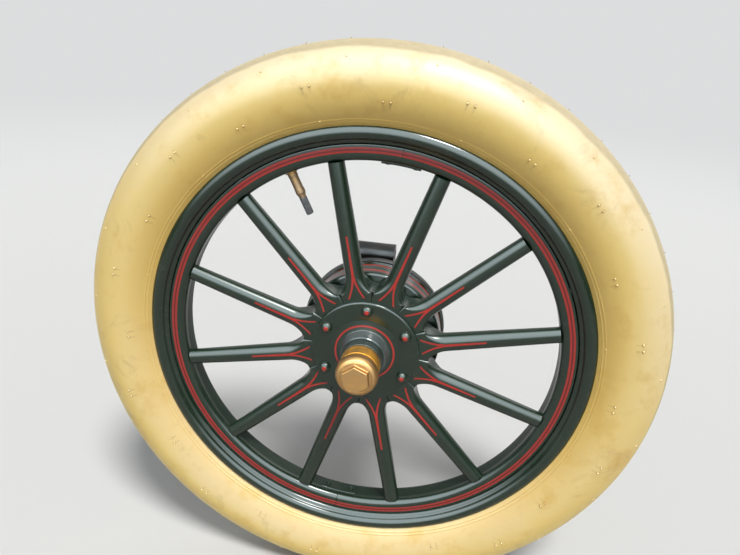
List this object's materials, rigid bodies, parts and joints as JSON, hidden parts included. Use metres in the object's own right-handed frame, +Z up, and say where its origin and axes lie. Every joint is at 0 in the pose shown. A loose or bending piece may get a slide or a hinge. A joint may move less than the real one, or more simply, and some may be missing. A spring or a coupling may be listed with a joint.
{
  "type": "vintage car wheel on its rear axle end",
  "caption": "Wood-spoked wheel of a 1920s car with a cream clincher tyre, green enamel and red stripes, turning on the rear axle end with its brake drum.",
  "frame": {"origin": "on the axle, at the middle of the housing's spigot, which enters the car's axle tube", "axes": "+Y runs inwards along the axle to the middle of the car, the wheel's outer face looks to -Y, +X is the car's front and +Z is up"},
  "size_m": [0.762, 0.3115, 0.762],
  "materials": {
    "tyre_rubber": "satin cream rubber, hand-worn",
    "green_enamel": "gloss dark green with red stripes",
    "green_wood": "painted wood, gloss dark green with red stripes",
    "cap_brass": "polished with orange-brown patina",
    "valve_brass": "dull",
    "valve_black": "gloss black",
    "bare_steel": "oiled, turned",
    "black_steel": "satin black",
    "axle_black": "gloss black"
  },
  "bodies": {
    "axle_end": {"axle_housing": "axle_black", "backing_bolts": "black_steel", "backing_plate": "axle_black", "bearing_sleeve": "bare_steel", "brake_camshaft": "bare_steel", "brake_lever": "axle_black", "brake_stud": "bare_steel", "grease_cup": "valve_brass", "perch_nut": "black_steel", "spring_perch": "axle_black"},
    "wheel": {"axle_shaft": "bare_steel", "brake_drum": "green_enamel", "felloe_front": "green_wood", "felloe_plates": "green_enamel", "felloe_rear": "green_wood", "hub": "green_enamel", "hub_bolts": "green_enamel", "hub_cap": "cap_brass", "hub_nuts": "black_steel", "hub_plate": "green_enamel", "rim": "green_enamel", "spoke_01": "green_wood", "spoke_02": "green_wood", "spoke_03": "green_wood", "spoke_04": "green_wood", "spoke_05": "green_wood", "spoke_06": "green_wood", "spoke_07": "green_wood", "spoke_08": "green_wood", "spoke_09": "green_wood", "spoke_10": "green_wood", "spoke_11": "green_wood", "spoke_12": "green_wood", "tyre": "tyre_rubber", "valve_cap": "valve_black", "valve_nut": "valve_brass", "valve_stem": "valve_brass"}
  },
  "joints": [
    {"name": "wheel_spin", "type": "hinge", "parent": "axle_end", "child": "wheel", "pos_m": [0, 0, 0], "axis": [0, 1, 0], "continuous": true}
  ]
}
